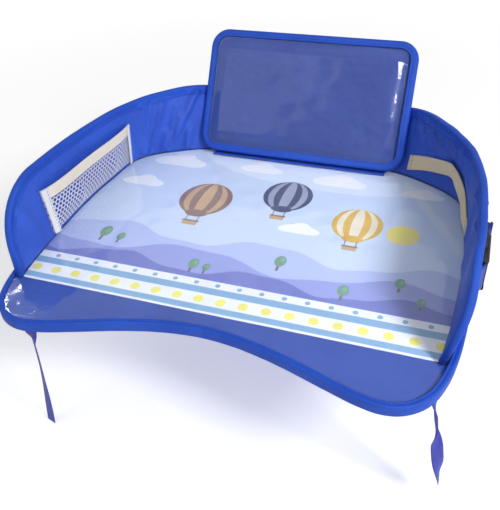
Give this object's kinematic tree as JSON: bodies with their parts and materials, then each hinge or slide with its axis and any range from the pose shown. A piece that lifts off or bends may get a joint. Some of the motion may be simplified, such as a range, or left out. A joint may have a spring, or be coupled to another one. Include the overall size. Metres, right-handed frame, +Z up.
{
  "type": "car seat tray table",
  "caption": "Padded lap table with a soft blue wall round its back and sides, a leaning phone holder with a clear window, a net pocket, a cup strap, a buckled seat strap and hanging ties.",
  "frame": {"origin": "middle of the table's underside, on the bottom cover", "axes": "+X to the child's right-hand side of the picture, +Y from the child towards the back wall, +Z up"},
  "size_m": [0.407, 0.3783, 0.2492],
  "materials": {
    "blue_cloth": "royal-blue coated oxford cloth",
    "blue_tape": "royal-blue folded binding tape, stitched",
    "blue_webbing": "woven polyester webbing",
    "print": "pale blue cloth with a printed play scene of the builder's own",
    "clear_film": "soft clear film",
    "foam": "soft foam sheet",
    "board": "thin stiff board",
    "net": "open white net and tape",
    "cream_elastic": "woven cream elastic",
    "ribbon": "violet-blue woven ribbon",
    "black_plastic": "moulded black plastic"
  },
  "bodies": {
    "tray": {"base_board": "board", "base_foam": "foam", "bottom_cover": "blue_cloth", "clear_cover": "clear_film", "edge_binding": "blue_tape", "top_cover": "blue_cloth", "play_sheet": "print", "wall_inner": "blue_cloth", "wall_outer": "blue_cloth", "wall_stiffener": "foam", "rim_binding": "blue_tape", "pocket_net": "net", "pocket_elastic": "cream_elastic", "pocket_front_tape": "net", "pocket_rear_tape": "net", "cup_strap": "cream_elastic", "holder_hinge_strip": "blue_cloth", "left_anchor": "blue_webbing", "right_anchor": "blue_webbing", "seat_strap": "blue_webbing", "buckle_socket": "black_plastic", "buckle_tongue": "black_plastic"},
    "holder": {"holder_back": "blue_cloth", "holder_board": "board", "holder_lining": "blue_cloth", "holder_binding": "blue_tape", "holder_window": "clear_film"},
    "strap_end": {"strap_tail": "blue_webbing"},
    "left_ribbon": {"tie_left": "ribbon"},
    "right_ribbon": {"tie_right": "ribbon"},
    "upper_arm": {"release_arm_upper": "black_plastic"},
    "lower_arm": {"release_arm_lower": "black_plastic"}
  },
  "joints": [
    {"name": "holder_fold", "type": "hinge", "parent": "tray", "child": "holder", "pos_m": [0, 0.134, 0.01316], "axis": [1, 0, 0], "range_deg": [0, 112]},
    {"name": "strap_tail_swing", "type": "hinge", "parent": "tray", "child": "strap_end", "pos_m": [0.2057, 0.0385, 0.0403], "axis": [0, -1, 0], "range_deg": [0, 80]},
    {"name": "left_tie_swing", "type": "hinge", "parent": "tray", "child": "left_ribbon", "pos_m": [-0.14, -0.16812, -0.0016], "axis": [0.9907, 0.1358, 0], "range_deg": [-50, 50]},
    {"name": "right_tie_swing", "type": "hinge", "parent": "tray", "child": "right_ribbon", "pos_m": [0.182, -0.14462, -0.0016], "axis": [0.4224, 0.9064, 0], "range_deg": [-50, 50]},
    {"name": "upper_arm_press", "type": "hinge", "parent": "tray", "child": "upper_arm", "pos_m": [0.20089, 0.00485, 0.0378], "axis": [1, 0, 0], "range_deg": [0, 16], "stiffness_Nm_per_rad": 0.05, "springref_deg": -2.86},
    {"name": "lower_arm_press", "type": "hinge", "parent": "tray", "child": "lower_arm", "pos_m": [0.20089, 0.00485, 0.0178], "axis": [-1, 0, 0], "range_deg": [0, 16], "stiffness_Nm_per_rad": 0.05, "springref_deg": -2.86}
  ],
  "couplings": [
    {"joint": "lower_arm_press", "follows": "upper_arm_press", "ratio": 1}
  ]
}
